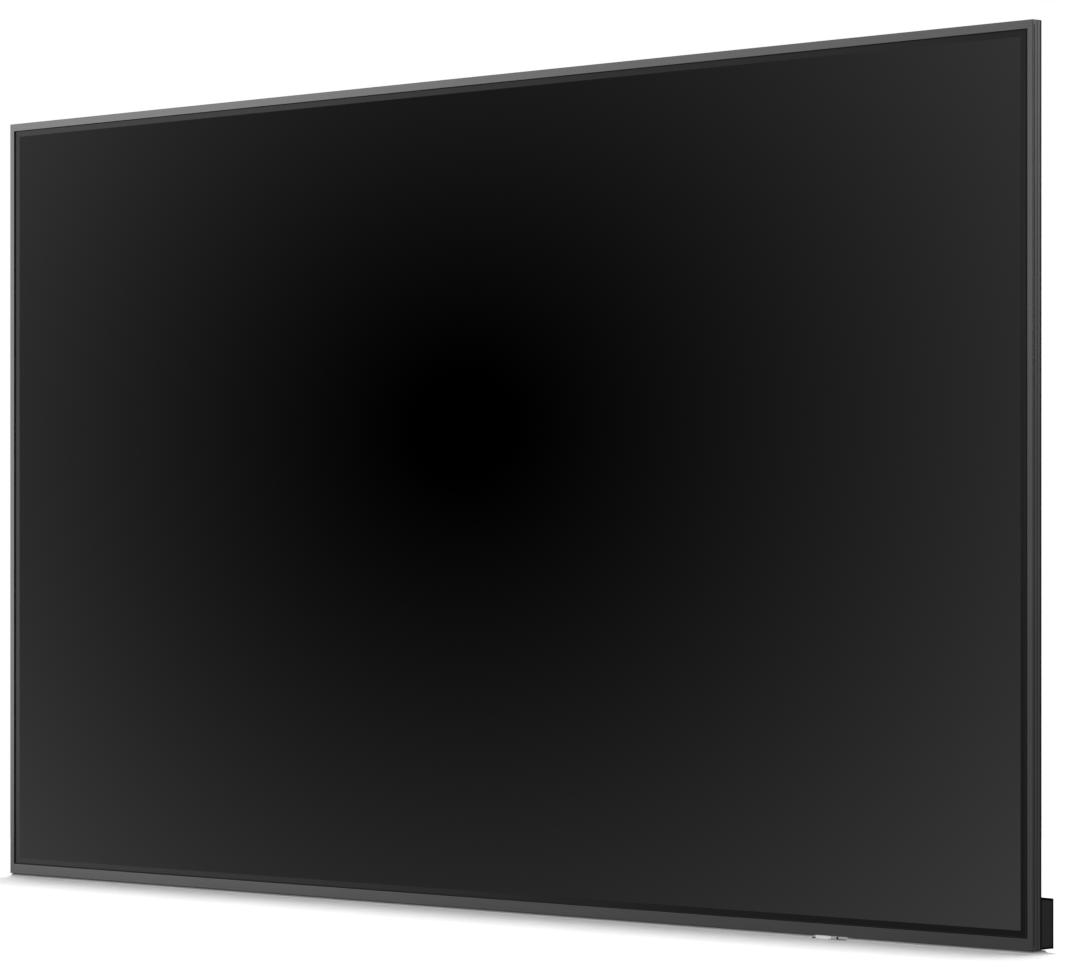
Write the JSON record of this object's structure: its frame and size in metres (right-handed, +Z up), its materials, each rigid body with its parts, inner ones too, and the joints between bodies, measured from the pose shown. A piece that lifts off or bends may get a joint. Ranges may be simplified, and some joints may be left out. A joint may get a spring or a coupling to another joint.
{
  "type": "wall-hung flat panel display",
  "caption": "Very large thin flat-panel display with a slim metal frame, glossy black screen, rear electronics housing, wall mounting rails, carrying handles and a corner key pod.",
  "frame": {"origin": "centre of the rear mounting plane, midway between the four M8 mounting holes", "axes": "+X to the viewer's right, +Y out of the back towards the wall, +Z up; the screen faces -Y"},
  "size_m": [1.935, 0.068, 1.1126],
  "materials": {
    "frame_metal": "satin",
    "bracket_steel": "satin",
    "seal_rubber": "matte",
    "screen_glass": "gloss",
    "frame_plastic": "matte",
    "film": "satin",
    "diffuser": "matte",
    "reflector": "matte",
    "led_board": "satin",
    "chassis_steel": "satin",
    "circuit_board": "satin",
    "connector_metal": "satin",
    "port_plate_metal": "satin",
    "cover_metal": "matte",
    "mount_steel": "satin",
    "inlet_plastic": "satin",
    "key_plastic": "satin",
    "pod_plastic": "matte",
    "lens_clear": "gloss",
    "speaker_plastic": "matte",
    "handle_metal": "satin",
    "screw_steel": "satin"
  },
  "bodies": {
    "display": {"bezel_top": "frame_metal", "bezel_bottom": "frame_metal", "bezel_left": "frame_metal", "bezel_right": "frame_metal", "corner_bracket_top_left": "bracket_steel", "corner_bracket_top_right": "bracket_steel", "corner_bracket_bottom_left": "bracket_steel", "corner_bracket_bottom_right": "bracket_steel", "front_gasket": "seal_rubber", "lcd_panel": "screen_glass", "middle_frame": "frame_plastic", "optical_film_stack": "film", "diffuser_plate": "diffuser", "reflector_sheet": "reflector", "led_bar_1": "led_board", "led_bar_2": "led_board", "led_bar_3": "led_board", "led_bar_4": "led_board", "led_bar_5": "led_board", "backlight_chassis": "chassis_steel", "source_board_left": "circuit_board", "source_board_right": "circuit_board", "timing_board": "circuit_board", "main_board": "circuit_board", "power_board": "circuit_board", "key_board": "circuit_board", "sensor_board": "circuit_board", "video_socket_1": "connector_metal", "video_socket_2": "connector_metal", "data_socket": "connector_metal", "network_socket": "connector_metal", "port_plate": "port_plate_metal", "rear_cover": "cover_metal", "electronics_cover": "cover_metal", "connector_tray": "cover_metal", "mains_tray": "cover_metal", "mount_rail_left": "mount_steel", "mount_rail_right": "mount_steel", "mount_crossbar": "mount_steel", "mains_inlet": "inlet_plastic", "switch_housing": "inlet_plastic", "control_pod": "pod_plastic", "sensor_housing": "pod_plastic", "sensor_window": "lens_clear", "indicator_light_guide": "lens_clear", "speaker_left": "speaker_plastic", "speaker_right": "speaker_plastic", "handle_upper_left": "handle_metal", "handle_upper_right": "handle_metal", "handle_lower_left": "handle_metal", "handle_lower_right": "handle_metal", "cover_screw_1": "screw_steel", "cover_screw_2": "screw_steel", "cover_screw_3": "screw_steel", "cover_screw_4": "screw_steel"},
    "power_rocker": {"power_rocker": "key_plastic"},
    "key_power": {"key_power": "key_plastic"},
    "key_source": {"key_source": "key_plastic"},
    "key_minus": {"key_minus": "key_plastic"},
    "key_plus": {"key_plus": "key_plastic"}
  },
  "joints": [
    {"name": "rocker_tilt", "type": "hinge", "parent": "display", "child": "power_rocker", "pos_m": [0.158, -0.021, -0.2491], "axis": [0, 1, 0], "range_deg": [0, 16]},
    {"name": "key_power_press", "type": "slide", "parent": "display", "child": "key_power", "axis": [0, -1, 0], "range_m": [0, 0.0008], "stiffness_N_per_m": 900},
    {"name": "key_source_press", "type": "slide", "parent": "display", "child": "key_source", "axis": [0, -1, 0], "range_m": [0, 0.0008], "stiffness_N_per_m": 900},
    {"name": "key_minus_press", "type": "slide", "parent": "display", "child": "key_minus", "axis": [0, -1, 0], "range_m": [0, 0.0008], "stiffness_N_per_m": 900},
    {"name": "key_plus_press", "type": "slide", "parent": "display", "child": "key_plus", "axis": [0, -1, 0], "range_m": [0, 0.0008], "stiffness_N_per_m": 900}
  ]
}
